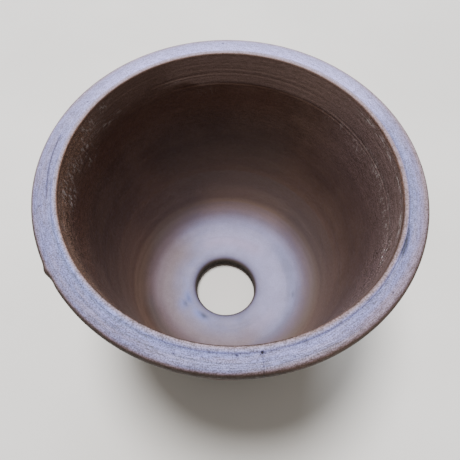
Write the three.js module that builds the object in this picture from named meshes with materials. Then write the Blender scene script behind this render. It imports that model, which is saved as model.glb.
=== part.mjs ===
// A wheel-thrown clay plant pot: one fired piece with a tapered wall, a rolled rim with a bead
// round its mouth, a flat floor with a wide drain hole, and a foot ring turned into the underside.
// Millimetres, +Z up. The origin is on the pot's axis, level with the foot it stands on.

import * as THREE from 'three';

// Driving dimensions, in millimetres

const potHeight = 101; // from the ground to the crown of the rim
const rimRadius = 60; // the widest part, the outside of the rolled rim
const rimWidth = 7.6; // from the mouth to the outside of the rim
const wallThickness = 5.5; // measured square to the wall
const floorRadius = 40; // where the line of the inside wall would meet the floor
const floorThickness = 6.5;
const floorFillet = 16; // the wide curve between floor and wall

const drainHoleRadius = 13.5;
const drainHoleTopRound = 2.8; // softened by a wet finger
const drainHoleBottomRound = 0.6;

const footRecess = 1.5; // how high the underside of the floor stays above the ground
const footRadius = 41; // to the outside of the ring that the pot stands on
const footWidth = 6; // that ring, with its rounded edges
const footEdgeRound = 0.8;
const recessRound = 1; // the curve where the recess meets the underside of the floor
const recessDraft = 0.6; // how far the recess narrows on its way up
const bellyHeight = 48; // below this height the outside draws in towards the foot
const bellyRound = 200;

const rimHeight = 4.6; // the rolled rim, from its crown down to its lower corner
const rimReturn = 0.9; // the sloping underside of the roll, measured downwards
const rimRollRound = 2.4;
const rimRootRound = 1.2; // the curve where the roll meets the wall
const crownInset = 3; // from the outside of the rim to where its top begins to fall inwards
const crownRound = 3;

const lipDrop = 0.5; // how far the bead round the mouth lies below the crown
const lipBeadWidth = 0.9;
const lipInnerRound = 0.45;
const lipOuterRound = 0.3;
const lipGrooveOffset = 1.7; // from the mouth to the middle of the groove behind the bead
const lipGrooveWidth = 1.4;
const lipGrooveDepth = 0.5; // below the bead
const lipGrooveShoulder = 0.15; // how far the outer edge of the groove lies below the bead
const lipGrooveRound = 0.4;

const innerLineDepth = 12.3; // below the bead, where a tool line runs round the inside
const innerLineWidth = 1.6;
const innerLineCut = 0.45;

// How finely the round shapes are cut into flats

const facetsRound = 72;
const largeArcStep = THREE.MathUtils.degToRad(12); // for curves a finger or more wide
const smallArcStep = THREE.MathUtils.degToRad(31);
const largeArcRadius = 5;

// Sizes that follow from the driving ones

const lipTop = potHeight - lipDrop;
const mouthRadius = rimRadius - rimWidth;
const floorTop = footRecess + floorThickness;
const wallSlope = (mouthRadius - floorRadius) / (lipTop - floorTop);
const wallSpan = wallThickness / Math.cos(Math.atan(wallSlope)); // the wall measured level

function insideRadius(z) {
  return floorRadius + wallSlope * (z - floorTop);
}

function outsideRadius(z) {
  return insideRadius(z) + wallSpan;
}

// A corner of the outline: its radius and height, and how far it is rounded

function corner(r, z, round = 0) {
  return { r, z, round };
}

// Each part of the outline, in the order that a fingertip meets it, going out over the floor,
// up the inside, over the rim, down the outside and back along the underside

function floorCorners() {
  return [
    corner(drainHoleRadius, floorTop, drainHoleTopRound),
    corner(floorRadius, floorTop, floorFillet),
  ];
}

function innerLineCorners() {
  const middle = lipTop - innerLineDepth;
  const lower = middle - innerLineWidth / 2;
  const upper = middle + innerLineWidth / 2;
  return [
    corner(insideRadius(lower), lower),
    corner(insideRadius(middle) + innerLineCut, middle),
    corner(insideRadius(upper), upper),
  ];
}

function lipCorners() {
  const grooveMiddle = mouthRadius + lipGrooveOffset;
  const grooveOuter = grooveMiddle + lipGrooveWidth / 2;
  return [
    corner(mouthRadius, lipTop, lipInnerRound),
    corner(mouthRadius + lipBeadWidth, lipTop, lipOuterRound),
    corner(grooveMiddle, lipTop - lipGrooveDepth, lipGrooveRound),
    corner(grooveOuter, lipTop - lipGrooveShoulder, lipGrooveRound),
  ];
}

function rimCorners() {
  const rollBottom = potHeight - rimHeight;
  const root = rollBottom - rimReturn;
  return [
    corner(rimRadius - crownInset, potHeight, crownRound),
    corner(rimRadius, potHeight, rimRollRound),
    corner(rimRadius, rollBottom, rimRollRound),
    corner(outsideRadius(root), root, rimRootRound),
  ];
}

function footCorners() {
  const recessRadius = footRadius - footWidth;
  return [
    corner(outsideRadius(bellyHeight), bellyHeight, bellyRound),
    corner(footRadius, 0, footEdgeRound),
    corner(recessRadius, 0, footEdgeRound),
    corner(recessRadius - recessDraft, footRecess, recessRound),
    corner(drainHoleRadius, footRecess, drainHoleBottomRound),
  ];
}

// The points of one corner: itself if it is sharp, otherwise an arc that touches both its sides

function roundedCorner(before, here, after) {
  const at = new THREE.Vector2(here.r, here.z);
  if (here.round === 0) {
    return [at];
  }
  const towardsBefore = new THREE.Vector2(before.r, before.z).sub(at).normalize();
  const towardsAfter = new THREE.Vector2(after.r, after.z).sub(at).normalize();
  const opening = Math.acos(towardsBefore.dot(towardsAfter));
  const turn = Math.PI - opening;
  const reach = here.round * Math.tan(turn / 2);
  const start = at.clone().addScaledVector(towardsBefore, reach);
  const toCentre = towardsBefore.clone().add(towardsAfter).normalize();
  const centre = at.clone().addScaledVector(toCentre, here.round / Math.sin(opening / 2));
  const side = Math.sign(towardsBefore.cross(towardsAfter));
  const step = here.round >= largeArcRadius ? largeArcStep : smallArcStep;
  const steps = Math.ceil(turn / step);
  const points = [];
  for (let i = 0; i <= steps; i += 1) {
    const angle = (-side * turn * i) / steps;
    points.push(start.clone().rotateAround(centre, angle));
  }
  return points;
}

function outlinePoints(corners) {
  const points = corners.flatMap((here, i) => {
    const before = corners[(i + corners.length - 1) % corners.length];
    const after = corners[(i + 1) % corners.length];
    return roundedCorner(before, here, after);
  });
  return [...points, points[0].clone()];
}

// The clay body, turned round the upright axis

function makePotBody() {
  const corners = [
    ...floorCorners(),
    ...innerLineCorners(),
    ...lipCorners(),
    ...rimCorners(),
    ...footCorners(),
  ];
  const outline = outlinePoints(corners).reverse();
  const geometry = new THREE.LatheGeometry(outline, facetsRound);
  geometry.rotateX(Math.PI / 2);
  const clay = new THREE.MeshStandardMaterial({ color: 0x5b463c, roughness: 0.85, metalness: 0 });
  const body = new THREE.Mesh(geometry, clay);
  body.name = 'pot_body';
  return body;
}

const pot = new THREE.Group();
pot.add(makePotBody());

export default pot;
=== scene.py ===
# %% [markdown]
# A plant pot, thrown on the wheel from dark clay and fired without glaze. The packed solid gives
# its true shape and size. This lesson builds the finished surface round that solid: the lines that
# fingers and tools leave, the bead and groove of the lip, nicks, pits and cracks, and a clay that
# is brown in the shade and cool grey where it faces up, partly from a bloom and partly from the
# cool light above, which is painted into its colour.

# %% Load the packed pot and keep its box
import math

import bpy
import numpy as np
from mathutils import Matrix, Vector, noise


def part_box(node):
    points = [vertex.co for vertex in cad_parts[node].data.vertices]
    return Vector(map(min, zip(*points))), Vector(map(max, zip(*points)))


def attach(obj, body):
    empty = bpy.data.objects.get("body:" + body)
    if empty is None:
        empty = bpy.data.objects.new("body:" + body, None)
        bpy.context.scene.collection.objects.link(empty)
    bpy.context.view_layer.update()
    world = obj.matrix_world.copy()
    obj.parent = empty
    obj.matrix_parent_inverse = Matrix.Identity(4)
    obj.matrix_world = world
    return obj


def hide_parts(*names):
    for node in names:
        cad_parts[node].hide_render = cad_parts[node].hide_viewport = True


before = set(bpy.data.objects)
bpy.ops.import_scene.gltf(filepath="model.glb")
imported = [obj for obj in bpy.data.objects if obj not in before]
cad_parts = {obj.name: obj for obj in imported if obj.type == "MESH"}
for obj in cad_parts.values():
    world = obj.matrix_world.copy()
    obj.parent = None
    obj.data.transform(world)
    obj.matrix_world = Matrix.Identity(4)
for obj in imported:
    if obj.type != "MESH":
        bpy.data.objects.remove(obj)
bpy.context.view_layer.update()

low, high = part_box("pot_body")
print("nodes:", sorted(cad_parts), "box in mm:", [round(v * 1000, 2) for v in high - low])

# %% [markdown]
# Sizes are in millimetres here, because that is how a potter thinks, and they become metres
# only when a mesh is written. Height and width come from the packed solid. The rest are the
# solid's own dimensions, said again, because the fine surface has to follow it closely.

# %% Sizes of the pot, in millimetres
mm = 0.001
pot_height = (high.z - low.z) / mm
rim_radius = (high.x - low.x) / 2 / mm
rim_width = 7.6
wall_thickness = 5.5
floor_radius = 40.0
floor_thickness = 6.5
floor_fillet = 16.0
hole_radius = 13.5
hole_top_round = 2.8
hole_bottom_round = 0.6
foot_recess = 1.5
foot_radius = 41.0
foot_width = 6.0
foot_edge_round = 0.8
recess_round = 1.0
recess_draft = 0.6
belly_height = 48.0
belly_round = 200.0
rim_height = 4.6
rim_return = 0.9
rim_roll_round = 2.4
rim_root_round = 1.2
crown_inset = 3.0
crown_round = 3.0
lip_drop = 0.5
lip_bead_width = 0.9
lip_inner_round = 0.45
lip_outer_round = 0.3
lip_groove_offset = 1.7
lip_groove_width = 1.4
lip_groove_depth = 0.5
lip_groove_shoulder = 0.15
lip_groove_round = 0.4

lip_top = pot_height - lip_drop
mouth_radius = rim_radius - rim_width
floor_top = foot_recess + floor_thickness
wall_slope = (mouth_radius - floor_radius) / (lip_top - floor_top)
wall_span = wall_thickness / math.cos(math.atan(wall_slope))
print("height", round(pot_height, 2), "rim radius", round(rim_radius, 2))


# %% [markdown]
# A pot is a closed outline turned round an upright axis. The outline is written as corners,
# each with the radius of its rounding, in the order that a fingertip meets them: over the
# floor, up the inside, over the rim, down the outside and back along the underside. Drawing
# it as points by hand would also work, but corners keep every size a named one.

# %% The corners of the outline
def inside_radius(z):
    return floor_radius + wall_slope * (z - floor_top)


def outside_radius(z):
    return inside_radius(z) + wall_span


def outline_corners():
    groove_middle = mouth_radius + lip_groove_offset
    roll_bottom = pot_height - rim_height
    root = roll_bottom - rim_return
    recess_radius = foot_radius - foot_width
    return [
        (hole_radius, floor_top, hole_top_round),
        (floor_radius, floor_top, floor_fillet),
        (mouth_radius, lip_top, lip_inner_round),
        (mouth_radius + lip_bead_width, lip_top, lip_outer_round),
        (groove_middle, lip_top - lip_groove_depth, lip_groove_round),
        (groove_middle + lip_groove_width / 2, lip_top - lip_groove_shoulder, lip_groove_round),
        (rim_radius - crown_inset, pot_height, crown_round),
        (rim_radius, pot_height, rim_roll_round),
        (rim_radius, roll_bottom, rim_roll_round),
        (outside_radius(root), root, rim_root_round),
        (outside_radius(belly_height), belly_height, belly_round),
        (foot_radius, 0, foot_edge_round),
        (recess_radius, 0, foot_edge_round),
        (recess_radius - recess_draft, foot_recess, recess_round),
        (hole_radius, foot_recess, hole_bottom_round),
    ]


print("corners:", len(outline_corners()))


# %% [markdown]
# Each corner becomes an arc that touches both its sides. The arcs are cut very finely here,
# and the next step walks along them with steps of its own.

# %% Round the corners
def rounded_corner(before, here, after, steps=24):
    at = Vector(here[:2])
    towards_before = (Vector(before[:2]) - at).normalized()
    towards_after = (Vector(after[:2]) - at).normalized()
    opening = math.acos(towards_before.dot(towards_after))
    turn = math.pi - opening
    start = at + towards_before * here[2] * math.tan(turn / 2)
    to_centre = (towards_before + towards_after).normalized()
    centre = at + to_centre * here[2] / math.sin(opening / 2)
    cross = towards_before.x * towards_after.y - towards_before.y * towards_after.x
    side = math.copysign(1.0, cross)
    arm = start - centre
    return [
        centre + Matrix.Rotation(-side * turn * i / steps, 2) @ arm
        for i in range(steps + 1)
    ]


def smooth_outline():
    corners = outline_corners()
    points = []
    for i, here in enumerate(corners):
        after = corners[(i + 1) % len(corners)]
        points += rounded_corner(corners[i - 1], here, after)
    points.append(points[0])
    return np.array([(p.x, p.y) for p in points])


outline = smooth_outline()
print("outline points:", len(outline), "length in mm:",
      round(float(np.hypot(*np.diff(outline, axis=0).T).sum()), 1))


# %% [markdown]
# Where the surface holds fine marks, the rows of the mesh lie close together, and on plain
# wall they can be further apart. Spending the faces like this keeps the mesh light enough to
# work with while the lip still shows a crack that is a fifth of a millimetre wide.

# %% Walk along the outline with a spacing that suits each place
def row_spacing(r, z):
    below_lip = lip_top - z
    if below_lip < 2.0 and r < rim_radius - 1.5:
        return 0.19
    if r > mouth_radius - 1 and below_lip < rim_height + 3:
        return 0.36
    if below_lip < 15 and r < mouth_radius:
        return 0.36
    if r < hole_radius + 4 or z < 3:
        return 0.5
    return 0.85


def walk_outline(points):
    steps = np.hypot(*np.diff(points, axis=0).T)
    along = np.concatenate([[0], np.cumsum(steps)])
    rows = []
    here = 0.0
    while here < along[-1]:
        r = np.interp(here, along, points[:, 0])
        z = np.interp(here, along, points[:, 1])
        rows.append((r, z, here))
        here += row_spacing(r, z)
    if along[-1] - rows[-1][2] < 0.2:
        rows.pop()
    return np.array(rows)


rows = walk_outline(outline)
row_r, row_z, row_along = rows.T
print("rows:", len(rows))


# %% [markdown]
# The marks on the rim are named here by where they lie: an azimuth in degrees, counted from
# the right towards the back, and a distance from the mouth. Columns of the mesh are drawn
# together near the narrow ones.

# %% Nicks, pits and cracks, and the columns of the mesh
lump_azimuth = 214.7
pits = [
    # azimuth in degrees, from the mouth, width and depth in millimetres
    (280.70, 1.76, 0.62, 0.50),
    (281.35, 2.05, 0.40, 0.40),
    (280.12, 2.10, 0.36, 0.35),
    (273.9, 2.05, 0.56, 0.42),
    (257.5, 3.75, 0.44, 0.30),
    (264.7, 2.95, 0.34, 0.20),
    (288.6, 4.70, 0.42, 0.24),
    (321.5, 4.85, 0.42, 0.25),
    (195.0, 4.70, 0.46, 0.26),
    (180.5, 5.40, 0.38, 0.20),
    (96.0, 4.50, 0.42, 0.22),
    (152.0, 2.90, 0.36, 0.20),
]
radial_crack_azimuth = 280.4
plain_columns = 400


def column_azimuths():
    fine = np.linspace(0, 360, 36001)
    density = np.full_like(fine, plain_columns / 360)
    for azimuth, *_ in pits:
        density += 3.2 * np.exp(-(((fine - azimuth) / 0.7) ** 2))
    density += 9.0 * np.exp(-(((fine - radial_crack_azimuth) / 0.35) ** 2))
    density += 2.0 * np.exp(-(((fine - lump_azimuth) / 3.0) ** 2))
    total = np.concatenate([[0], np.cumsum((density[1:] + density[:-1]) / 2) * 0.01])
    count = round(total[-1])
    return np.interp(np.arange(count) * total[-1] / count, total, fine)


columns = column_azimuths()
print("columns:", len(columns), "faces:", len(columns) * len(rows))


# %% [markdown]
# The outline is now spread round the axis as a grid of points. Everything that follows is
# a height over this grid, measured square to the clay, so marks can be added up one by one.

# %% The grid, and the direction that faces out of the clay
turn = np.radians(columns)
grid_turn, grid_along = np.meshgrid(turn, row_along)
grid_r = np.repeat(row_r[:, None], len(columns), axis=1)
grid_z = np.repeat(row_z[:, None], len(columns), axis=1)
grid_azimuth = np.degrees(grid_turn)

ahead = np.roll(rows[:, :2], -1, axis=0) - np.roll(rows[:, :2], 1, axis=0)
ahead /= np.hypot(*ahead.T)[:, None]
out_r = -ahead[:, 1][:, None]
out_z = ahead[:, 0][:, None]
relief = np.zeros_like(grid_r)


def tell_relief(stage):
    deepest = round(float(relief.min()), 3)
    highest = round(float(relief.max()), 3)
    print("relief", stage, "in mm, from", deepest, "to", highest)


print("grid:", grid_r.shape)


# %% [markdown]
# The surface is split into zones: rim, inside, outside, floor and underside. A zone is 1 on
# its own part and 0 elsewhere, and a mark is multiplied by its zone, so that it stays there.
# Marks in clay fade out softly, so three helpers make soft steps: ramp climbs from 0 to 1,
# bump is a rounded ridge, and stretch is 1 between two azimuths. The last helper measures
# round the ring, because a mark has a width in millimetres and not in degrees.

# %% Zones, and helpers for soft marks
def ramp(value, start, end):
    t = np.clip((value - start) / (end - start), 0, 1)
    return t * t * (3 - 2 * t)


def bump(value, middle, width):
    return np.exp(-(((value - middle) / width) ** 2))


def azimuth_gap(middle):
    return (grid_azimuth - middle + 180) % 360 - 180


def stretch(start, end, fade=5.0):
    middle = (start + end) / 2
    half = (end - start) / 2
    return 1 - ramp(np.abs(azimuth_gap(middle)), half, half + fade)


def round_ring(azimuth):
    return azimuth_gap(azimuth) * math.pi / 180 * grid_r


below_lip = lip_top - grid_z
from_mouth = grid_r - mouth_radius
on_rim_top = (below_lip < 2.4) * (from_mouth > 0)
on_inside = (out_r < -0.05) * (grid_r > hole_radius + 4) * (grid_z > floor_top - 0.1)
on_outside = (out_r > 0.02) * (grid_r > foot_radius - 1)
on_floor = (out_z > 0.3) * (grid_z > floor_top - 2) * (grid_r < floor_radius + 1)
on_underside = out_z < -0.3
for name, zone in [("rim", on_rim_top), ("inside", on_inside), ("outside", on_outside),
                   ("floor", on_floor), ("underside", on_underside)]:
    print(name, "covers", int(np.count_nonzero(zone)), "points")


# %% [markdown]
# Fingers and ribs leave rings on a turning pot. They aren't even: a ring is a sum of a few
# waves with lengths of their own, tilted a little, and stronger on one side than another. A
# plain noise would look like rock, because it doesn't run round with the wheel.

# %% Rings left by the wheel
dice = np.random.default_rng(7)


def rings(wavelengths, heights, tilt=0.6):
    total = np.zeros_like(grid_r)
    for wavelength, height in zip(wavelengths, heights):
        start = dice.uniform(0, 2 * math.pi)
        lean = dice.uniform(0, 2 * math.pi)
        sway = dice.uniform(0, 2 * math.pi)
        path = grid_along + tilt * np.sin(grid_turn + lean)
        path = path + 0.3 * tilt * np.sin(3 * grid_turn + sway)
        strength = 0.65 + 0.35 * np.sin(grid_turn * dice.integers(1, 4) + sway)
        total += height * strength * np.sin(2 * math.pi * path / wavelength + start)
    return total


upper_inside = on_inside * (1 - ramp(below_lip, 12, 14.5))
lower_inside = on_inside * ramp(below_lip, 12, 15)
outer_wall = on_outside * ramp(below_lip, rim_height + 1, rim_height + 6)
upper_rings = rings([2.3, 1.35, 0.95], [0.014, 0.007, 0.006], tilt=0.35)
relief += upper_inside * upper_rings * (1 - 0.5 * stretch(40, 150, 20))
relief += lower_inside * rings([13.0, 7.1, 3.3], [0.05, 0.02, 0.006])
relief += outer_wall * rings([11.5, 5.3, 2.6], [0.14, 0.07, 0.035])
relief += on_floor * rings([4.6, 2.7, 1.5], [0.05, 0.03, 0.02], tilt=0.9)
relief += on_underside * rings([2.4, 1.5], [0.06, 0.04], tilt=0.3) * (grid_z > 1.5)
relief += on_rim_top * rings([1.7, 0.9], [0.020, 0.016], tilt=0.12)
tell_relief("from the wheel")


# %% [markdown]
# Clear tool lines are cut on top of the rings. Inside, below the lip, the edge of a rib has
# skipped round the wall and left short lines, each with a raised lower edge that catches the
# light. They are cut here as real shape, so that they also show from the side and in the mesh.
# They wander up and down a little, as the hand does.

# %% Tool lines inside, below the lip
def cut_line(place, width, depth):
    return -depth * bump(place, 0, width)


inner_wander = 0.25 * np.sin(grid_turn * 2 + 0.1) + 0.12 * np.sin(5 * grid_turn + 0.4)
for depth_below, start, end, width, depth in [
    # below the lip, azimuths where it starts and ends, width and depth in millimetres
    (11.1, -28, 42, 0.28, 0.20),
    (12.6, 28, 112, 0.30, 0.15),
    (8.2, 58, 118, 0.28, 0.075),
    (8.4, 106, 122, 0.24, 0.09),
    (6.3, 66, 112, 0.24, 0.045),
    (9.7, 84, 128, 0.22, 0.03),
    (4.2, 92, 150, 0.22, 0.035),
    (14.5, 84, 112, 0.24, 0.05),
    (10.4, -20, 20, 0.20, 0.05),
    (5.0, -30, 40, 0.24, 0.05),
    (13.5, 168, 210, 0.30, 0.05),
    (6.8, 176, 222, 0.28, 0.06),
]:
    place = below_lip - depth_below - inner_wander
    reach = on_inside * stretch(start, end, 9) * (0.8 + 0.2 * np.sin(grid_turn * 9 + depth_below))
    relief += reach * cut_line(place, width, depth)
    relief += reach * bump(place, 0.5, 0.28) * depth * 0.35
tell_relief("with the inner lines")


# %% [markdown]
# The roll of the rim is pinched off from the wall by a line, and the top of the rim has faint
# ones that break off here and there. The groove behind the bead is filled up in part, as clay
# is smeared into it. At one place on the right it opens into a shallow hollow, stained dark,
# and the mask of the stain is kept for the colour.

# %% Lines of the rim, its groove and the stained hollow
pinch_line = below_lip - rim_height - rim_return - 0.6 - 0.12 * np.sin(grid_turn * 2 + 0.5)
relief += on_outside * cut_line(pinch_line, 0.5, 0.25)

faint_line = from_mouth - 4.3 - 0.12 * np.sin(grid_turn * 3 + 1.0)
relief += on_rim_top * cut_line(faint_line, 0.22, 0.12) * (0.25 + 0.75 * stretch(230, 300, 25))
outer_line = from_mouth - 5.6 - 0.1 * np.sin(grid_turn * 2)
relief += on_rim_top * cut_line(outer_line, 0.2, 0.08) * (0.2 + 0.8 * stretch(275, 305, 20))

shallow = stretch(203, 246, 14)
groove_fill = 0.20 + 0.10 * stretch(60, 240, 40) + 0.05 * shallow
relief += on_rim_top * bump(from_mouth - 0.25 * shallow, 1.35, 0.45 + 0.15 * shallow) * groove_fill
groove_line = from_mouth - 1.9 + 0.5 * stretch(348, 380, 12)
relief += on_rim_top * cut_line(groove_line, 0.24, 0.07) * stretch(256, 375, 12)
stain_gap = azimuth_gap(334)
stain_place = from_mouth - 2.0 + 0.6 * ramp(stain_gap, 4, 18)
stain_width = 0.60 - 0.43 * ramp(stain_gap, 3, 13)
stain = on_rim_top * np.exp(-((stain_place / stain_width) ** 4)) * ramp(stain_gap, -1.2, 1.4)
stain = stain * (1 - 0.45 * ramp(stain_gap, 9, 12)) * (1 - ramp(stain_gap, 18, 26))
relief -= 0.25 * stain
tell_relief("with the lines of the rim")


# %% [markdown]
# Accidents make the pot this one pot: a hairline crack that runs along the rim on the left,
# a short one across it at the front that starts from a pit, pits where grit has dropped out,
# and a small lump on the outer edge. Dark paint alone would make them look drawn on, so each
# is sunk or raised first, and the dark colour is laid into the same shape later.

# %% Cracks, pits and the lump
crack_line = from_mouth - 3.35 + 0.6 * ramp(grid_azimuth, 173, 191)
hairline = on_rim_top * bump(crack_line, 0, 0.15) * stretch(168.5, 191.5, 1.5)
relief -= 0.25 * hairline
relief += 0.05 * on_rim_top * bump(crack_line, -0.32, 0.16) * stretch(168.5, 190, 1.5)

across = round_ring(radial_crack_azimuth + 0.22)
across = across + 0.08 * (from_mouth - 2.5) + 0.03 * np.sin(from_mouth * 2.3)
radial_crack = on_rim_top * bump(across, 0, 0.14) * ramp(from_mouth, 1.6, 2.4)
radial_crack = radial_crack * (0.65 + 0.35 * np.sin(from_mouth * 6.0))
relief -= 0.14 * radial_crack

pit_marks = np.zeros_like(grid_r)
for azimuth, place, width, depth in pits:
    away = np.hypot(round_ring(azimuth) * 0.8, from_mouth - place)
    mark = on_rim_top * np.exp(-((away / (width / 2)) ** 4))
    pit_marks = np.maximum(pit_marks, mark)
    relief -= depth * mark

by_lump = round_ring(lump_azimuth)
lump = bump(by_lump, 0, 1.7) * bump(below_lip, 1.6, 1.8) * (from_mouth > 4)
dent = bump(by_lump, 3.4, 1.8) * bump(below_lip, 1.4, 2.0) * (from_mouth > 4)
relief += 0.55 * lump - 0.2 * dent
tell_relief("with cracks, pits and lump")


# %% [markdown]
# Clay isn't even between the marks either. A slow noise bends the surface a little, and a
# faster one gives it the skin of a hand-made thing. The rim is truer than the wall, because
# the potter compresses it with a strip of leather at the very end. The drain hole is cut by
# hand, so it is a little wider, less round and not quite in the middle.

# %% Unevenness of the hand
unit_x = np.cos(grid_turn)
unit_y = np.sin(grid_turn)


def clay_noise(size, seed):
    scale = 1 / size
    shift = Vector((seed * 17.3, seed * 5.1, seed * 9.7))
    points = np.stack([grid_r * unit_x, grid_r * unit_y, grid_z], axis=-1).reshape(-1, 3)
    values = [noise.noise(Vector(p) * scale + shift) for p in points.tolist()]
    return np.array(values).reshape(grid_r.shape)


slow = clay_noise(26.0, 1)
quick = clay_noise(3.2, 2)
standing = ramp(grid_z, 0.2, 3.0)
near_rim = ramp(grid_z, lip_top - 14, lip_top - 6)
relief += standing * (0.16 - 0.13 * near_rim) * slow
relief += standing * (0.035 - 0.015 * near_rim) * quick
out_of_round = 0.10 * np.cos(2 * grid_turn + 0.8) * standing * (1 - near_rim)
mouth_reach = np.maximum(0.22 * stretch(5, 75, 30), 0.34 * stretch(240, 300, 25))
flat_mouth = mouth_reach * near_rim * (1 - ramp(from_mouth, 0.3, 1.6))

near_hole = (1 - ramp(grid_r, hole_radius + 2, hole_radius + 12)) * (grid_z < floor_top + 1)
hole_wobble = 0.25 + 0.10 * np.cos(2 * grid_turn + 2.2) + 0.06 * np.cos(3 * grid_turn)
hole_wobble = near_hole * (hole_wobble + 0.22 * np.maximum(unit_y, 0))

hole_shift_x = -0.45
hole_shift_y = 0.20

surface_r = grid_r + relief * out_r + out_of_round - flat_mouth + hole_wobble
surface_x = surface_r * unit_x + hole_shift_x * near_hole
surface_y = surface_r * unit_y + hole_shift_y * near_hole
surface_z = np.maximum(grid_z + relief * out_z, 0.0)
print("slow noise runs from", round(float(slow.min()), 2), "to", round(float(slow.max()), 2))


# %% [markdown]
# The grid is closed both ways, like a ring, so every face has four corners and the mesh has
# no edge and no seam. It is written in one go with foreach_set, which is far quicker than
# adding vertices one by one. Smooth shading hides the faces, which are under a millimetre.

# %% Write the mesh
def ring_mesh(name, x, y, z):
    count_rows, count_columns = x.shape
    points = np.stack([x, y, z], axis=-1).reshape(-1, 3) * mm
    i, j = np.meshgrid(np.arange(count_rows), np.arange(count_columns), indexing="ij")
    next_i = (i + 1) % count_rows
    next_j = (j + 1) % count_columns
    faces = np.stack([
        i * count_columns + j,
        next_i * count_columns + j,
        next_i * count_columns + next_j,
        i * count_columns + next_j,
    ], axis=-1).reshape(-1, 4)
    mesh = bpy.data.meshes.new(name)
    mesh.vertices.add(len(points))
    mesh.vertices.foreach_set("co", points.astype(np.float32).ravel())
    mesh.loops.add(faces.size)
    mesh.loops.foreach_set("vertex_index", faces.astype(np.int32).ravel())
    mesh.polygons.add(len(faces))
    mesh.polygons.foreach_set("loop_start", np.arange(0, faces.size, 4, dtype=np.int32))
    mesh.polygons.foreach_set("use_smooth", np.ones(len(faces), bool))
    mesh.update(calc_edges=True)
    mesh.validate()
    return mesh


pot_mesh = ring_mesh("pot_clay", surface_x, surface_y, surface_z)
pot = bpy.data.objects.new("pot_clay", pot_mesh)
bpy.context.scene.collection.objects.link(pot)
print("faces:", len(pot_mesh.polygons))


# %% [markdown]
# The colour has to know where on the pot it is. A painted image could tell it, but would have
# to be wrapped round the pot and stored. Masks are lighter: a mask is one number for each
# point of the grid, travels with the mesh as a named attribute, and is read by its name in the
# material. The first masks are the dark marks that were cut above. One more attribute winds
# the coordinates round the wheel's axis, so that streaks follow the throwing lines.

# %% Keep a mask with the mesh
def add_mask(name, values):
    layer = pot_mesh.attributes.new(name, "FLOAT", "POINT")
    layer.data.foreach_set("value", values.astype(np.float32).ravel())
    print(name, "mean", round(float(values.mean()), 4))


add_mask("dark_mark", np.clip(0.8 * hairline + 0.75 * radial_crack + pit_marks, 0, 1))
add_mask("stain", stain)

turn_length = 9.0  # far less than the true radius, so noise is drawn out along the wheel
wheel_scale = 0.1
wheel = np.stack([unit_x * turn_length, unit_y * turn_length, grid_along], axis=-1) * wheel_scale
winding = pot_mesh.attributes.new("wheel", "FLOAT_VECTOR", "POINT")
winding.data.foreach_set("vector", wheel.astype(np.float32).ravel())


# %% [markdown]
# Where the clay faces up it turns a cool pale grey. That is partly bloom, a thin pale skin of salts
# and fine dust, and partly painted light: the cool light that falls from above is painted into the
# colour of the surfaces that face up. It lies on top of the rim, but not quite to its outer edge,
# and on the floor, out to where the wall gets steep. It reaches further on the far side of the
# floor. The wall of the drain hole, which faces sideways, stays free of it, and is painted dark for
# its shade, darker on its way down.

# %% Where the bloom and the painted top light lie
faces_up = np.broadcast_to(out_z, grid_r.shape)
far_part = stretch(55, 145, 45)
# in_hole keeps the pale top colour off the wall of the drain hole, and marks where that wall is
# painted dark for its shade.
in_hole = (grid_r < hole_radius + 4) * (1 - ramp(faces_up, 0.3, 1.0)) * (grid_z > foot_recess - 0.1)
fade_start = 6.27 - 0.2 * stretch(285, 345, 20) - 0.42 * stretch(50, 150, 30)
outer_fade = ramp(from_mouth, fade_start, fade_start + 1.2)
rim_bloom = on_rim_top * ramp(from_mouth, 0.0, 0.5) * (1 - outer_fade)
floor_reach = 35.9 + 3.4 * np.cos(grid_turn - math.radians(74)) - 1.1 * stretch(207, 240, 12)
floor_bloom = on_floor * (1 - ramp(grid_r, floor_reach - 6.0, floor_reach + 4.4)) * (1 - in_hole)
# The roll of the rim turns away from the light at its outer edge, so outer_edge is painted shade.
outer_edge = ramp(from_mouth, 6.7, 7.3) * (1 - ramp(below_lip, rim_height, rim_height + 3))
add_mask("bloom", np.clip(rim_bloom + floor_bloom, 0, 1))
add_mask("floor_bloom", floor_bloom)
# outer_edge is painted shade. in_hole, deep_in_hole and hole_edge paint the shade in the drain hole
# and round its edge, darkest at the bottom.
add_mask("outer_edge", outer_edge * (1 - 0.45 * stretch(290, 345, 10)))
add_mask("in_hole", in_hole)
add_mask("deep_in_hole", in_hole * (1 - ramp(grid_z, foot_recess + 0.5, foot_recess + 5)))
add_mask("hole_edge", on_floor * (1 - ramp(grid_r, hole_radius + 1.6, hole_radius + 4.6)))


# %% [markdown]
# Hands and tools wear the lip first. The bead is rubbed back to pinkish clay, most of all on
# the right, and a pale line runs along its outer side. The very edge of the mouth shows brown
# clay. At the front, where the bead turns away from the light, it has a dark line of shade.

# %% The worn lip
broad_bead = stretch(322, 378, 12)
bead_worn = np.maximum(stretch(298, 400, 20), 0.42 * stretch(225, 300, 20))
bead_worn = np.maximum(bead_worn, 0.5 * far_part)
bead = bump(from_mouth - 0.14 * broad_bead, 0.52, 0.42 + 0.08 * broad_bead)
bead_line = 1 - 0.7 * far_part - 0.3 * stretch(235, 262, 15) - 0.7 * broad_bead
lip_shade = (from_mouth > -0.6) * (1 - ramp(from_mouth, 0.24, 0.42)) * (below_lip < 1.2)
front_shade = np.maximum(stretch(232, 345, 16) - 0.4 * stretch(305, 345, 30), 0)
add_mask("bead", on_rim_top * bead * bead_worn)
add_mask("bead_line", on_rim_top * bump(from_mouth, 0.98, 0.22) * bead_line)
add_mask("worn_edge", bump(from_mouth, -0.1, 0.26) * (below_lip < 1.2) * (1 - 0.6 * far_part))
add_mask("lip_shade", lip_shade * front_shade)


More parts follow.
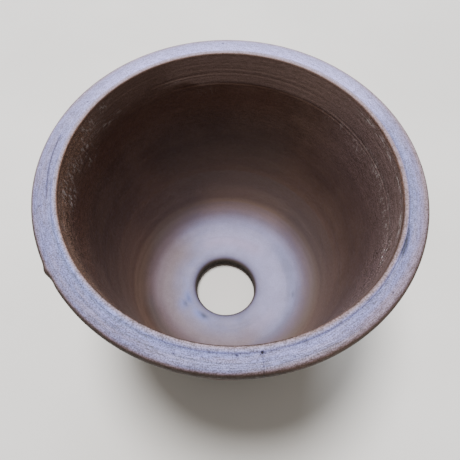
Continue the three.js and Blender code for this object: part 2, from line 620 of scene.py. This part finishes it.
# %% [markdown]
# Where the rim dips, in the groove and along faint tool lines, silt has gathered and dried to a
# blue grey. Each line is a short arc with its own place, reach and width, and wanders a little,
# because one even ring would look printed. On the left the whole groove is bluer, and so is
# the outer side of the bead.

# %% Blue lines in the rim
line_wander = 0.10 * np.sin(grid_turn * 7 + 0.6) + 0.05 * np.sin(grid_turn * 17)
blue_line = np.zeros_like(grid_r)
for place, start, end, width, strength in [
    # from the mouth, azimuths where it starts and ends, width and strength
    (1.90, 262, 318, 0.26, 0.16),
    (2.05, 312, 334, 0.20, 0.40),
    (1.40, 350, 378, 0.18, 0.50),
    (1.95, 204, 222, 0.42, 0.42),
    (2.10, 222, 255, 0.45, 0.28),
    (2.45, 222, 240, 0.30, 0.20),
    (6.00, 205, 258, 0.40, 0.16),
    (5.85, 222, 238, 0.45, 0.28),
    (4.40, 238, 252, 0.40, 0.16),
    (4.05, 222, 264, 0.22, 0.75),
    (3.20, 196, 226, 0.16, 0.30),
    (4.30, 266, 288, 0.16, 0.75),
    (4.95, 250, 303, 0.15, 0.60),
    (5.50, 268, 306, 0.15, 0.70),
    (6.05, 262, 300, 0.16, 0.60),
    (5.20, 186, 216, 0.16, 0.45),
    (2.90, 20, 60, 0.16, 0.25),
]:
    line = bump(from_mouth - line_wander, place, width) * stretch(start, end, 6)
    blue_line = np.maximum(blue_line, strength * on_rim_top * line)
add_mask("blue_line", blue_line)

blue_zone = bump(from_mouth, 1.9, 0.8) * (0.40 + 0.20 * stretch(196, 262, 20))
blue_zone += bump(from_mouth, 1.8, 0.8) * 0.35 * stretch(205, 240, 15)
blue_zone += bump(from_mouth, 2.4, 1.1) * 0.5 * stretch(352, 390, 15)
add_mask("blue_zone", on_rim_top * blue_zone)
add_mask("blue_bead", on_rim_top * bump(from_mouth, 1.15, 0.42) * stretch(205, 236, 12))


# %% [markdown]
# The bloom and its painted top light aren't one colour. They turn mauve towards the outside of the
# rim, above all on the right, and towards the near side of the floor. The far rim is palest and
# brightest: that is painted sheen, for the light that the far rim reflects at a grazing angle, laid
# over its bloom. The inner and the outer side of the rim are pinker, as the clay shows through
# there, and there are a few soft patches. Each tint gets a mask, so that it can be made stronger or
# weaker by itself.

# %% Tints of the bloom, and painted sheen on the far rim
pink_patch = bump(azimuth_gap(316), 0, 7.0) * bump(from_mouth, 5.0, 1.1)
grey_patch = bump(azimuth_gap(245), 0, 8.0) * bump(from_mouth, 4.5, 0.8)
rim_mauve = ramp(from_mouth, 3.0, 6.0) * (0.15 + 0.85 * stretch(310, 395, 20))
rim_mauve = on_rim_top * (rim_mauve + 0.6 * pink_patch + 0.35 * grey_patch)
floor_mauve = on_floor * ramp(grid_r, 17, 29) * (0.10 + 0.90 * stretch(150, 290, 35))
add_mask("mauve", np.clip(rim_mauve + floor_mauve, 0, 1))

outer_start = 6.0 - 1.1 * stretch(290, 510, 20) - 0.7 * far_part
outer_pink = ramp(from_mouth, outer_start, outer_start + 1.2 + 1.2 * far_part)
add_mask("outer_pink", on_rim_top * outer_pink * (1 - 0.5 * stretch(310, 345, 10)))
add_mask("inner_pink", on_rim_top * (1 - ramp(from_mouth, 0.35, 1.15 + 1.0 * far_part)))

# pale_rim and bright_rim are mostly painted sheen. The far rim reflects light at a grazing angle,
# and that is painted in as a paler, brighter colour, along with a few small pale patches elsewhere.
pale_front = 0.35 * stretch(259, 297, 11) * bump(from_mouth, 5.0, 1.3)
dull_left = 0.35 * stretch(140, 175, 12) * ramp(from_mouth, 2.8, 3.6)
add_mask("pale_rim", on_rim_top * np.maximum(far_part, pale_front) * (1 - dull_left))
bright_rim = 0.85 * stretch(50, 128, 30) * bump(from_mouth, 2.5, 1.4)
bright_rim += 0.18 * stretch(10, 30, 15) * bump(from_mouth, 3.0, 0.8)
bright_rim += 0.15 * stretch(290, 302, 9) * bump(from_mouth, 2.9, 0.9)
add_mask("bright_rim", on_rim_top * bright_rim)


# %% [markdown]
# Water that seeps through the wall and dries leaves salts just below the lip. On the right they
# have caught on the tool lines, as short pale dashes, and elsewhere they are loose flecks.
# Setting every speck by hand would take hundreds of entries. So only the clouds that they lie
# in are set here, and a noise in the material picks the specks.

# %% Clouds of pale dashes and flecks
dashes = np.zeros_like(grid_r)
flecks = np.zeros_like(grid_r)
for layer, azimuth, depth_below, length, height, strength in [
    # where a cloud of them lies, its half length and half height in millimetres
    (dashes, 346, 2.6, 8.0, 0.8, 0.8), (dashes, 2, 2.4, 5.0, 0.8, 1.0),
    (dashes, 16, 2.6, 8.0, 1.0, 1.0), (dashes, 31, 2.7, 5.0, 0.9, 1.0),
    (dashes, 358, 10.4, 9.0, 0.8, 0.5), (dashes, 20, 11.5, 9.0, 1.4, 0.5),
    (dashes, 200, 4.0, 9.0, 2.0, 0.22), (dashes, 158, 6.0, 7.0, 2.4, 0.28),
    (dashes, 116, 9.0, 4.0, 0.5, 0.30), (dashes, 149, 9.4, 6.5, 1.2, 0.50),
    (flecks, 339, 10.0, 5.0, 2.2, 1.0), (flecks, 352, 13.0, 6.0, 2.0, 0.7),
    (flecks, 2, 14.5, 4.0, 1.6, 0.6), (flecks, 15, 12.5, 6.0, 2.6, 0.5),
    (flecks, 28, 14.5, 6.0, 2.0, 0.4), (flecks, 43, 13.0, 8.0, 2.0, 0.3),
    (flecks, 104, 15.6, 3.0, 1.5, 0.18), (flecks, 150, 2.9, 3.0, 1.2, 0.9),
    (flecks, 160, 3.6, 5.0, 2.2, 0.8), (flecks, 166, 8.6, 5.0, 2.6, 0.9),
    (flecks, 164, 13.6, 4.0, 1.8, 0.7), (flecks, 176, 8.0, 6.0, 3.0, 0.7),
    (flecks, 184, 10.5, 4.5, 2.6, 1.0), (flecks, 186, 5.5, 4.0, 2.2, 0.8),
]:
    cloud = bump(round_ring(azimuth), 0, length) * bump(below_lip, depth_below, height)
    np.maximum(layer, strength * cloud * on_inside * ramp(below_lip, 0.7, 1.6), out=layer)
add_mask("dashes", dashes)
add_mask("flecks", flecks)


# %% [markdown]
# A paler, rougher band lies inside below the lip. At the back it ends sharply at a tool line, and
# on the sides it fades out slowly. Below it the wall is darkest, with a reddish zone and then a
# greyer one at the back. Near the floor the wall is painted paler, for the light that the bright
# floor throws back onto it, and low on the far wall lies a warm patch.

# %% Bands and zones of the inside wall
wall_or_floor = on_inside | on_floor
far_side = stretch(42, 112, 14)
side_band = 0.42 + 0.50 * stretch(-20, 60, 30) - 0.20 * stretch(182, 300, 10)
for azimuth, width, change in [(0, 8, -0.18), (22, 9, 0.14), (158, 8, 0.12), (200, 9, -0.10)]:
    side_band += change * bump(azimuth_gap(azimuth), 0, width)
band_end = 11.8 - 2.6 * stretch(113, 150, 9)
clear_band = 1 - ramp(below_lip + inner_wander, band_end, band_end + 1.6)
soft_band = 1 - ramp(below_lip, 3, 15 + 8 * stretch(0, 60, 30))
band = far_side * clear_band + (1 - far_side) * soft_band * side_band
add_mask("upper_wall", on_inside * band)
add_mask("pink_wall", on_inside * stretch(-50, 30, 30) * (1 - ramp(below_lip, 14, 50)))
add_mask("red_wall", on_inside * bump(below_lip, 19, 8) * stretch(80, 200, 22))
add_mask("grey_wall", on_inside * bump(below_lip, 52, 20) * stretch(70, 122, 18))
add_mask("warm_wall", on_inside * bump(below_lip, 79, 9) * stretch(62, 98, 22))

left_side = 0.60 + 0.40 * stretch(150, 280, 40)
climb = ramp(below_lip, 34, 86) * (1 - left_side * ramp(faces_up, 0.12, 0.70))
climb *= 1 - 0.42 * stretch(105, 150, 20) * bump(below_lip, 66, 14)
climb *= 1 - 0.25 * bump(azimuth_gap(20), 0, 18) * bump(below_lip, 66, 12)
climb *= 1 + 0.25 * stretch(60, 100, 15) * ramp(below_lip, 66, 80)
# lower_wall is painted light, thrown back onto the wall by the bright floor.
add_mask("lower_wall", np.clip(wall_or_floor * climb, 0, 1))


# %% [markdown]
# The grain of the clay isn't equally strong all over. Deep inside and on the smoothed far rim
# it is still. Below the lip on the near side the scraped clay is gritty, with orange grains
# just under the edge. Masks for the strength of the grain are better than one material per
# zone, because they leave no edge between zones.

# %% Calm and gritty places
calm_rim = on_rim_top * (0.22 * (1 - stretch(215, 325, 15)) + 0.20 * far_part)
calm_side = 0.30 + 0.25 * stretch(40, 150, 15) - 0.15 * stretch(-45, 32, 8)
calm_band = on_inside * (from_mouth < 0) * calm_side
still = np.maximum(wall_or_floor * ramp(below_lip, 12, 45), calm_rim + calm_band)
near_wall = on_inside * (from_mouth < 0) * stretch(194, 338, 12)
grit_start = 3.5 + 1.5 * stretch(300, 345, 20)
gritty = near_wall * ramp(below_lip, grit_start, grit_start + 3) * (1 - ramp(below_lip, 14, 36))
add_mask("still", np.clip(still, 0, 1))
add_mask("gritty", gritty)
add_mask("warm_grain", on_inside * stretch(165, 300, 15) * (1 - ramp(below_lip, 2.5, 14.0)))


# %% [markdown]
# Water drains over the floor and leaves its traces: blue smears and dark blots on the left of
# the hole, where it dried last, and grey streaks that bend with the curve of the wall.
# Each is a soft patch or a short arc, placed by its azimuth and its distance from the middle.

# %% Smears, blots and streaks on the floor
smears = np.zeros_like(grid_r)
blots = np.zeros_like(grid_r)
for layer, azimuth, radius, length, width, strength in [
    # where a stain lies on the floor, its half length round the axis and its half width
    (smears, 202.0, 18.4, 4.0, 2.0, 1.0),
    (smears, 207.0, 21.4, 3.0, 2.6, 0.75),
    (smears, 232.0, 18.6, 4.6, 1.9, 1.0),
    (smears, 222.0, 19.0, 3.2, 1.2, 0.4),
    (blots, 238.5, 17.7, 2.1, 1.1, 1.0),
    (blots, 232.5, 17.7, 1.8, 0.7, 0.5),
    (blots, 207.8, 20.7, 1.5, 0.8, 0.75),
    (blots, 202.5, 18.4, 2.2, 0.8, 0.5),
    (blots, 355.1, 31.5, 1.5, 0.6, 0.65),
]:
    patch = bump(round_ring(azimuth), 0, length) * bump(grid_r, radius, width)
    np.maximum(layer, strength * patch * on_floor, out=layer)
add_mask("smear", smears)
add_mask("blot", blots)

floor_streaks = np.zeros_like(grid_r)
for radius, start, end, width, strength in [
    # radius, azimuths where it starts and ends, width and strength
    (31.0, 5, 45, 1.5, 0.22),
    (29.4, -6, 22, 0.9, 0.32),
    (31.5, 300, 335, 1.4, 0.36),
    (33.0, -28, 2, 0.8, 0.40),
    (37.7, -40, 30, 0.4, 0.55),
    (38.8, 35, 105, 1.1, 0.40),
    (38.9, 158, 200, 0.8, 0.60),
    (36.8, 170, 214, 0.6, 0.50),
    (34.9, 196, 228, 0.5, 0.40),
    (26.2, 60, 120, 0.5, 0.15),
    (21.5, 280, 330, 0.4, 0.20),
    (19.4, 250, 300, 0.4, 0.20),
]:
    slant = grid_r - radius - 0.012 * azimuth_gap((start + end) / 2)
    streak = bump(slant, 0, width) * stretch(start, end, 10)
    floor_streaks = np.maximum(floor_streaks, strength * streak * on_floor)
add_mask("floor_streaks", floor_streaks)


# %% [markdown]
# The floor is palest on the right and at the back, greyer towards its edge, and bluer in a zone
# on the right. Dust lies in the curve between floor and wall, and on the left that curve is
# in shade.

# %% Tints of the floor
pale_side = np.maximum(stretch(-20, 100, 40), 0.14 * stretch(205, 245, 15))
by_hole = 0.30 * stretch(75, 240, 25) * bump(grid_r, 18.0, 2.4)
rosy = 0.7 * stretch(60, 110, 20) + 0.35 * stretch(300, 325, 15)
dust = wall_or_floor * bump(grid_r, floor_reach + 3.0, 3.2) * (below_lip > 60)
left_corner = (grid_r > 30) * bump(grid_r, 35.6, 2.4) * stretch(200, 245, 14)
add_mask("floor_pale", on_floor * bump(grid_r, 24.0, 11.0) * np.maximum(pale_side, by_hole))
add_mask("floor_rosy", on_floor * bump(grid_r, 24.0, 3.5) * rosy)
add_mask("floor_blue", on_floor * bump(grid_r, 31.5, 3.2) * stretch(-50, 30, 25))
add_mask("floor_edge", on_floor * ramp(grid_r, floor_reach - 5.0, floor_reach + 1.5))
add_mask("dust", dust * (1 - 0.65 * stretch(165, 240, 20)))
add_mask("corner_shade", on_floor * left_corner)


# %% [markdown]
# A material is a tree of nodes. It could be joined by hand in the node editor, but a script is
# easier to read and to change. This small kit holds one material and has a short call for each
# kind of node that gives a number: a mask, a noise, a changed range or a sum.

# %% A kit for the nodes of a material
class NodeKit:
    def __init__(self, name):
        self.material = bpy.data.materials.new(name)
        self.material.use_nodes = True
        self.nodes = self.material.node_tree.nodes
        self.links = self.material.node_tree.links
        self.shader = self.nodes["Principled BSDF"]

    def feed(self, socket, value):
        """Link a node's output to a socket, or set a plain value on it."""
        if isinstance(value, bpy.types.NodeSocket):
            self.links.new(value, socket)
        else:
            socket.default_value = value

    def place(self):
        return self.nodes.new("ShaderNodeTexCoord").outputs["Object"]

    def mask(self, name, output="Fac"):
        node = self.nodes.new("ShaderNodeAttribute")
        node.attribute_name = name
        return node.outputs[output]

    def grain(self, coordinates, scale, detail=2.0, roughness=0.5):
        node = self.nodes.new("ShaderNodeTexNoise")
        self.feed(node.inputs["Vector"], coordinates)
        self.feed(node.inputs["Scale"], scale)
        self.feed(node.inputs["Detail"], detail)
        self.feed(node.inputs["Roughness"], roughness)
        return node.outputs["Fac"]

    def remap(self, value, low_in, high_in, low_out=0.0, high_out=1.0):
        node = self.nodes.new("ShaderNodeMapRange")
        node.interpolation_type = "SMOOTHSTEP"
        for socket, number in zip(node.inputs, (value, low_in, high_in, low_out, high_out)):
            self.feed(socket, number)
        return node.outputs["Result"]

    def calculate(self, operation, first, second, clamp=False):
        node = self.nodes.new("ShaderNodeMath")
        node.operation = operation
        node.use_clamp = clamp
        self.feed(node.inputs[0], first)
        self.feed(node.inputs[1], second)
        return node.outputs[0]

    def plus(self, first, second, clamp=False):
        return self.calculate("ADD", first, second, clamp)

    def times(self, first, second):
        return self.calculate("MULTIPLY", first, second)


print("the kit can make:", [name for name in vars(NodeKit) if not name.startswith("_")])


# %% [markdown]
# Colours are blended by a second kit on top of the first. Its main call is lay, which lays a
# paint over a colour as strongly as a mask says, and lay_all does so for a list of washes.

# %% Paint, laid on in washes
class Paint(NodeKit):
    def mix(self, amount, first, second, kind="MIX"):
        node = self.nodes.new("ShaderNodeMix")
        node.data_type = "RGBA"
        node.blend_type = kind
        for index, value in ((0, amount), (6, first), (7, second)):
            self.feed(node.inputs[index], value)
        return node.outputs[2]

    def lay(self, colour, mask_name, paint, strength):
        return self.mix(self.times(self.mask(mask_name), strength), colour, paint)

    def lay_all(self, colour, washes):
        for mask_name, paint, strength in washes:
            colour = self.lay(colour, mask_name, paint, strength)
        return colour


print("the paint can also:", [name for name in vars(Paint) if not name.startswith("_")])


# %% [markdown]
# Unglazed clay is rough and matt, and its colour comes from iron. What makes it look like clay
# is that no colour is flat. Four noises break it up: clouds of centimetres, streaks along the
# wheel, sand of a millimetre and specks of a third of a millimetre. They are made once and
# shared, so that the grain of the colour and the grain of the surface fall together.

# %% The noises that all parts of the clay share
clay = Paint("unglazed_clay")
clay_place = clay.place()
wheel_place = clay.mask("wheel", "Vector")
clouds = clay.grain(clay_place, 60, detail=3)
streaks = clay.grain(wheel_place, 6.0, detail=4, roughness=0.65)
sand = clay.grain(clay_place, 900, detail=2)
speckle = clay.grain(clay_place, 3000, detail=1.5, roughness=0.6)
print("nodes so far:", len(clay.nodes))


# %% [markdown]
# In the shade of the walls the clay is a warm, deep brown. The zones of the wall are laid over
# it like washes of thin paint, one after another. A list of washes is easy to add to, and the
# order matters, because a later wash covers an earlier one. The orange grains come last.

# %% Brown of the walls
brown_deep = (0.074, 0.038, 0.026, 1)
brown_light = (0.108, 0.062, 0.045, 1)
cloudy = clay.plus(clouds, clay.times(streaks, 0.35))
colour = clay.mix(clay.remap(cloudy, 0.45, 0.9), brown_deep, brown_light)
grain_spots = clay.times(clay.remap(speckle, 0.50, 0.60), 0.62)
colour = clay.lay_all(colour, [
    # mask, paint and strength
    ("red_wall", (0.082, 0.034, 0.020, 1), 0.6),
    ("grey_wall", (0.082, 0.062, 0.052, 1), 0.6),
    # lower_wall: painted light from the bright floor
    ("lower_wall", (0.275, 0.176, 0.128, 1), 0.8),
    ("warm_wall", (0.480, 0.300, 0.175, 1), 0.55),
    ("upper_wall", (0.206, 0.137, 0.115, 1), 0.85),
    ("pink_wall", (0.135, 0.088, 0.086, 1), 0.6),
    ("dust", (0.165, 0.134, 0.120, 1), 0.6),
    ("warm_grain", (0.330, 0.180, 0.105, 1), grain_spots),
])
print("nodes with the walls:", len(clay.nodes))


# %% [markdown]
# On the rim the bloom, with the cool top light painted into it, is a lavender grey, bluer by the
# groove and mauve towards the outside. The pale washes come before the pink ones, because clay that
# is rubbed bare shows through everything.

# %% Bloom of the rim, with painted top light
bloom_cool = (0.166, 0.167, 0.340, 1)
bloom_warm = (0.200, 0.180, 0.300, 1)
bloom = clay.mix(clay.remap(streaks, 0.38, 0.66), bloom_cool, bloom_warm)
bloom = clay.lay_all(bloom, [
    ("mauve", (0.202, 0.152, 0.200, 1), 0.8),
    ("blue_zone", (0.158, 0.176, 0.345, 1), 0.8),
    # pale_rim and bright_rim paint the sheen of the far rim
    ("pale_rim", (0.338, 0.323, 0.558, 1), 0.9),
    ("bright_rim", (0.440, 0.415, 0.760, 1), 1.0),
    ("bead_line", (0.270, 0.255, 0.420, 1), 0.8),
    ("blue_bead", (0.200, 0.232, 0.500, 1), 0.5),
    ("inner_pink", (0.260, 0.204, 0.230, 1), 0.85),
    ("outer_pink", (0.245, 0.180, 0.190, 1), 0.8),
    ("bead", (0.248, 0.168, 0.166, 1), 0.8),
])
print("nodes with the rim:", len(clay.nodes))


# %% [markdown]
# The bloom of the floor, with its painted top light, is paler than that of the rim, and slow
# streaks along the wheel make it cooler and warmer by turns. Rim and floor are then joined into one
# layer of bloom and painted top light, and it is laid over the brown. A fine noise lets a little
# brown through, because bloom never covers fully.

# %% Bloom and painted top light of the floor, all laid over the brown
floor_cool = (0.238, 0.234, 0.385, 1)
floor_warm = (0.262, 0.246, 0.370, 1)
slow_streaks = clay.grain(wheel_place, 2.5, detail=3, roughness=0.55)
floor_colour = clay.mix(clay.remap(slow_streaks, 0.35, 0.65), floor_cool, floor_warm)
floor_colour = clay.lay_all(floor_colour, [
    ("floor_pale", (0.352, 0.336, 0.530, 1), 0.92),
    ("floor_rosy", (0.395, 0.328, 0.492, 1), 1.0),
    ("floor_edge", (0.205, 0.186, 0.196, 1), 0.82),
    ("mauve", (0.200, 0.146, 0.146, 1), 0.85),
    ("floor_blue", (0.160, 0.182, 0.310, 1), 0.45),
    ("floor_streaks", (0.105, 0.105, 0.155, 1), 0.8),
])

line_breaks = clay.remap(clay.grain(wheel_place, 40.0, detail=1), 0.20, 0.48)
bloom = clay.lay_all(bloom, [
    ("floor_bloom", floor_colour, 1.0),
    ("smear", (0.186, 0.218, 0.495, 1), 0.85),
    ("blue_line", (0.085, 0.092, 0.150, 1), line_breaks),
])
colour = clay.lay(colour, "bloom", bloom, clay.remap(speckle, 0.30, 0.62, 0.93, 1.0))
print("nodes with the bloom:", len(clay.nodes))


# %% [markdown]
# Edges come next. The edge of the mouth shows brown clay in broken grains. The outer edge of the
# rim, the lip at the front and the left corner of the floor are in shade, and that shade is painted
# here as dark washes. The wall of the drain hole is painted dark for its shade, darker towards the
# bottom, and a soft painted shade lies round its edge. The stained hollow is broken up by a noise
# as well, or it would look cut out of paper.

# %% Worn edges, painted shade, the drain hole and stains
shadow = (0.022, 0.012, 0.008, 1)
edge_breaks = clay.remap(sand, 0.32, 0.6, 0.35, 1.0)
stain_noise = clay.grain(wheel_place, 24.0, detail=2, roughness=0.6)
stain_breaks = clay.remap(stain_noise, 0.34, 0.52, 0.66, 1.0)
colour = clay.lay_all(colour, [
    # corner_shade, lip_shade, outer_edge, hole_edge, in_hole and deep_in_hole are painted shade
    ("corner_shade", (0.082, 0.072, 0.078, 1), 0.42),
    ("worn_edge", (0.155, 0.088, 0.064, 1), edge_breaks),
    ("lip_shade", shadow, 0.78),
    ("outer_edge", shadow, 0.85),
    ("hole_edge", shadow, 0.20),
    ("in_hole", (0.052, 0.042, 0.036, 1), 0.95),
    ("deep_in_hole", (0.014, 0.011, 0.008, 1), 0.95),
    ("blot", (0.060, 0.066, 0.095, 1), 0.85),
    ("stain", (0.046, 0.047, 0.078, 1), stain_breaks),
])
print("nodes with the edges:", len(clay.nodes))


# %% [markdown]
# Salts lie on top of the clay, so they are laid late. Flecks come from a noise that is
# stretched upright, as drops run down, and dashes from one that follows the wheel. Cracks and
# pits are the last of all, and nearly black.

# %% Salts, cracks and pits
salt_pale = (0.400, 0.345, 0.325, 1)
upright = clay.nodes.new("ShaderNodeMapping")
clay.feed(upright.inputs["Scale"], (1.0, 1.0, 0.45))
clay.feed(upright.inputs["Vector"], clay_place)
fleck_noise = clay.grain(upright.outputs[0], 900, detail=2, roughness=0.65)
dash_noise = clay.grain(wheel_place, 20.0, detail=2, roughness=0.6)
colour = clay.lay_all(colour, [
    ("flecks", salt_pale, clay.remap(fleck_noise, 0.51, 0.64)),
    ("dashes", salt_pale, clay.remap(dash_noise, 0.50, 0.62)),
    ("dark_mark", (0.018, 0.014, 0.018, 1), 1.0),
])
print("nodes with the salts:", len(clay.nodes))


# %% [markdown]
# The grain makes the finished colour lighter and darker by up to a half, speck by speck, and
# a little more so in blue than in red, since the specks are bloom. It is weak where the clay is
# calm and strong where it is gritty. The floor gets slow, cloudy mottling of some millimetres
# besides, where puddles have dried.

# %% Grain of the colour
calm_grain = 0.12
grit_grain = 1.35
grain_reach = 0.48
mottle_reach = 0.05
grain_shares = (0.96, 1.0, 1.2)  # in red, green and blue

lively = clay.remap(clay.mask("still"), 0.0, 1.0, 1.0, calm_grain)
lively = clay.plus(lively, clay.times(clay.mask("gritty"), grit_grain))
streak_grain = clay.grain(wheel_place, 26.0, detail=1.5)
mixed_grain = clay.plus(clay.times(streak_grain, 0.5), speckle)
tone = clay.times(clay.remap(mixed_grain, 0.53, 0.97, -grain_reach, grain_reach), lively)
mottle = clay.grain(clay_place, 150, detail=3, roughness=0.6)
mottle = clay.remap(mottle, 0.34, 0.66, -mottle_reach, mottle_reach)
tone = clay.plus(tone, clay.times(mottle, clay.mask("floor_bloom")))
tone_colour = clay.nodes.new("ShaderNodeCombineColor")
for socket, share in zip(tone_colour.inputs, grain_shares):
    clay.feed(socket, clay.plus(clay.times(tone, share), 1.0))
colour = clay.mix(1.0, colour, tone_colour.outputs[0], kind="MULTIPLY")
clay.feed(clay.shader.inputs["Base Color"], colour)
print("nodes with the grain:", len(clay.nodes))


# %% [markdown]
# Clay without glaze hardly shines. Its roughness varies a little with the sand in it, and the
# drain hole is duller still. Specks of a third of a millimetre are too small to model, so a
# bump gives them. The real shape above carries all that is larger.

# %% Roughness and skin
bump_depth = 0.00022
roughness = clay.remap(sand, 0.3, 0.7, 0.58, 0.76)
dull_hole = clay.times(clay.mask("in_hole"), 0.4)
clay.feed(clay.shader.inputs["Roughness"], clay.plus(roughness, dull_hole, clamp=True))
clay.feed(clay.shader.inputs["Specular IOR Level"], 0.28)

fine_streaks = clay.grain(wheel_place, 14.0, detail=3, roughness=0.6)
height = clay.plus(clay.plus(clay.times(speckle, 0.6), sand), fine_streaks)
skin = clay.nodes.new("ShaderNodeBump")
clay.feed(skin.inputs["Strength"], 0.45)
clay.feed(skin.inputs["Distance"], bump_depth)
clay.feed(skin.inputs["Height"], clay.times(height, lively))
clay.feed(clay.shader.inputs["Normal"], skin.outputs["Normal"])
pot_mesh.materials.append(clay.material)
print("nodes in the clay:", len(clay.nodes))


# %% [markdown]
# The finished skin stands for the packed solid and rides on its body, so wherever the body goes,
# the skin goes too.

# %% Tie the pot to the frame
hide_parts("pot_body")
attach(pot, "root")
print("the clay stands for pot_body and rides on root")


# %% [markdown]
# The stage is one wide pale floor, just under the foot. A trace of noise keeps it from looking like
# plastic. It is lit and seen, but is no part of the pot.

# %% The floor of the stage
stage_grey = (0.77, 0.74, 0.69, 1)
stage_pale = (0.83, 0.80, 0.75, 1)
stage_half = 2.0
stage_top = -0.05 * mm


def make_floor():
    paint = Paint("stage_pale")
    cloud = paint.grain(paint.place(), 9, detail=3)
    colour = paint.mix(paint.remap(cloud, 0.3, 0.7), stage_grey, stage_pale)
    paint.feed(paint.shader.inputs["Base Color"], colour)
    paint.feed(paint.shader.inputs["Roughness"], 0.8)
    signs = [(-1, -1), (1, -1), (1, 1), (-1, 1)]
    corners = [(x * stage_half, y * stage_half, stage_top) for x, y in signs]
    mesh = bpy.data.meshes.new("stage_floor")
    mesh.from_pydata(corners, [], [(0, 1, 2, 3)])
    mesh.materials.append(paint.material)
    floor = bpy.data.objects.new("stage_floor", mesh)
    bpy.context.scene.collection.objects.link(floor)
    print("the stage is", 2 * stage_half, "m wide")


make_floor()


# %% [markdown]
# One lamp hangs high over the pot, a little to the back and left, so that the rim and the floor
# of the pot are bright while the walls stay dark, with the right wall lighter than the left.
# A broad cool lamp stands further back, like a window, and a pale surrounding keeps the
# shadows soft.

# %% Lights
def add_lamp(name, place, target, size, power, colour):
    data = bpy.data.lights.new(name, "AREA")
    data.shape = "DISK"
    data.size = size
    data.energy = power
    data.color = colour
    lamp = bpy.data.objects.new(name, data)
    lamp.location = place
    lamp.rotation_euler = (Vector(target) - Vector(place)).to_track_quat("-Z", "Y").to_euler()
    bpy.context.scene.collection.objects.link(lamp)
    print("lamp", name, "of", power, "W, size in m:", size)


middle = (0, 0, pot_height / 2 * mm)
add_lamp("key", (-0.12, 0.12, 1.15), middle, 0.34, 20.0, (0.98, 0.98, 1.0))
add_lamp("window", (0.0, 1.05, 0.95), middle, 0.8, 14.0, (0.84, 0.90, 1.0))

world = bpy.data.worlds.new("studio")
world.use_nodes = True
backdrop = world.node_tree.nodes["Background"]
backdrop.inputs["Color"].default_value = (1.0, 0.97, 0.92, 1)
backdrop.inputs["Strength"].default_value = 0.30
bpy.context.scene.world = world


# %% [markdown]
# The camera looks steeply down into the pot from close by, which is why the floor looks small
# and the near rim broad. Its place was worked out from the ellipses of lip, rim, floor and
# hole. It is given here from the middle of the mouth, with its tilt and its slight roll.

# %% Camera
frame_pixels = 460
focal_pixels = 475
sensor = 36.0
eye_from_lip = Vector((0.23, -82.86, 119.52))
tilt_down = math.radians(61.90)
roll = math.radians(3.07)

camera_data = bpy.data.cameras.new("camera")
camera_data.sensor_width = sensor
camera_data.lens = focal_pixels / frame_pixels * sensor
camera_data.clip_start = 0.01
camera = bpy.data.objects.new("camera", camera_data)
forward = Vector((0, math.cos(tilt_down), -math.sin(tilt_down)))
level_right = Vector((1, 0, 0))
level_up = level_right.cross(forward)
right = level_right * math.cos(roll) + level_up * math.sin(roll)
up = right.cross(forward)
facing = Matrix((right, up, -forward)).transposed()
eye = (eye_from_lip + Vector((0, 0, lip_top))) * mm
camera.matrix_world = Matrix.Translation(eye) @ facing.to_4x4()
bpy.context.scene.collection.objects.link(camera)
bpy.context.scene.camera = camera
print("camera stands", round(eye_from_lip.length, 1), "mm from the middle of the mouth")


# %% [markdown]
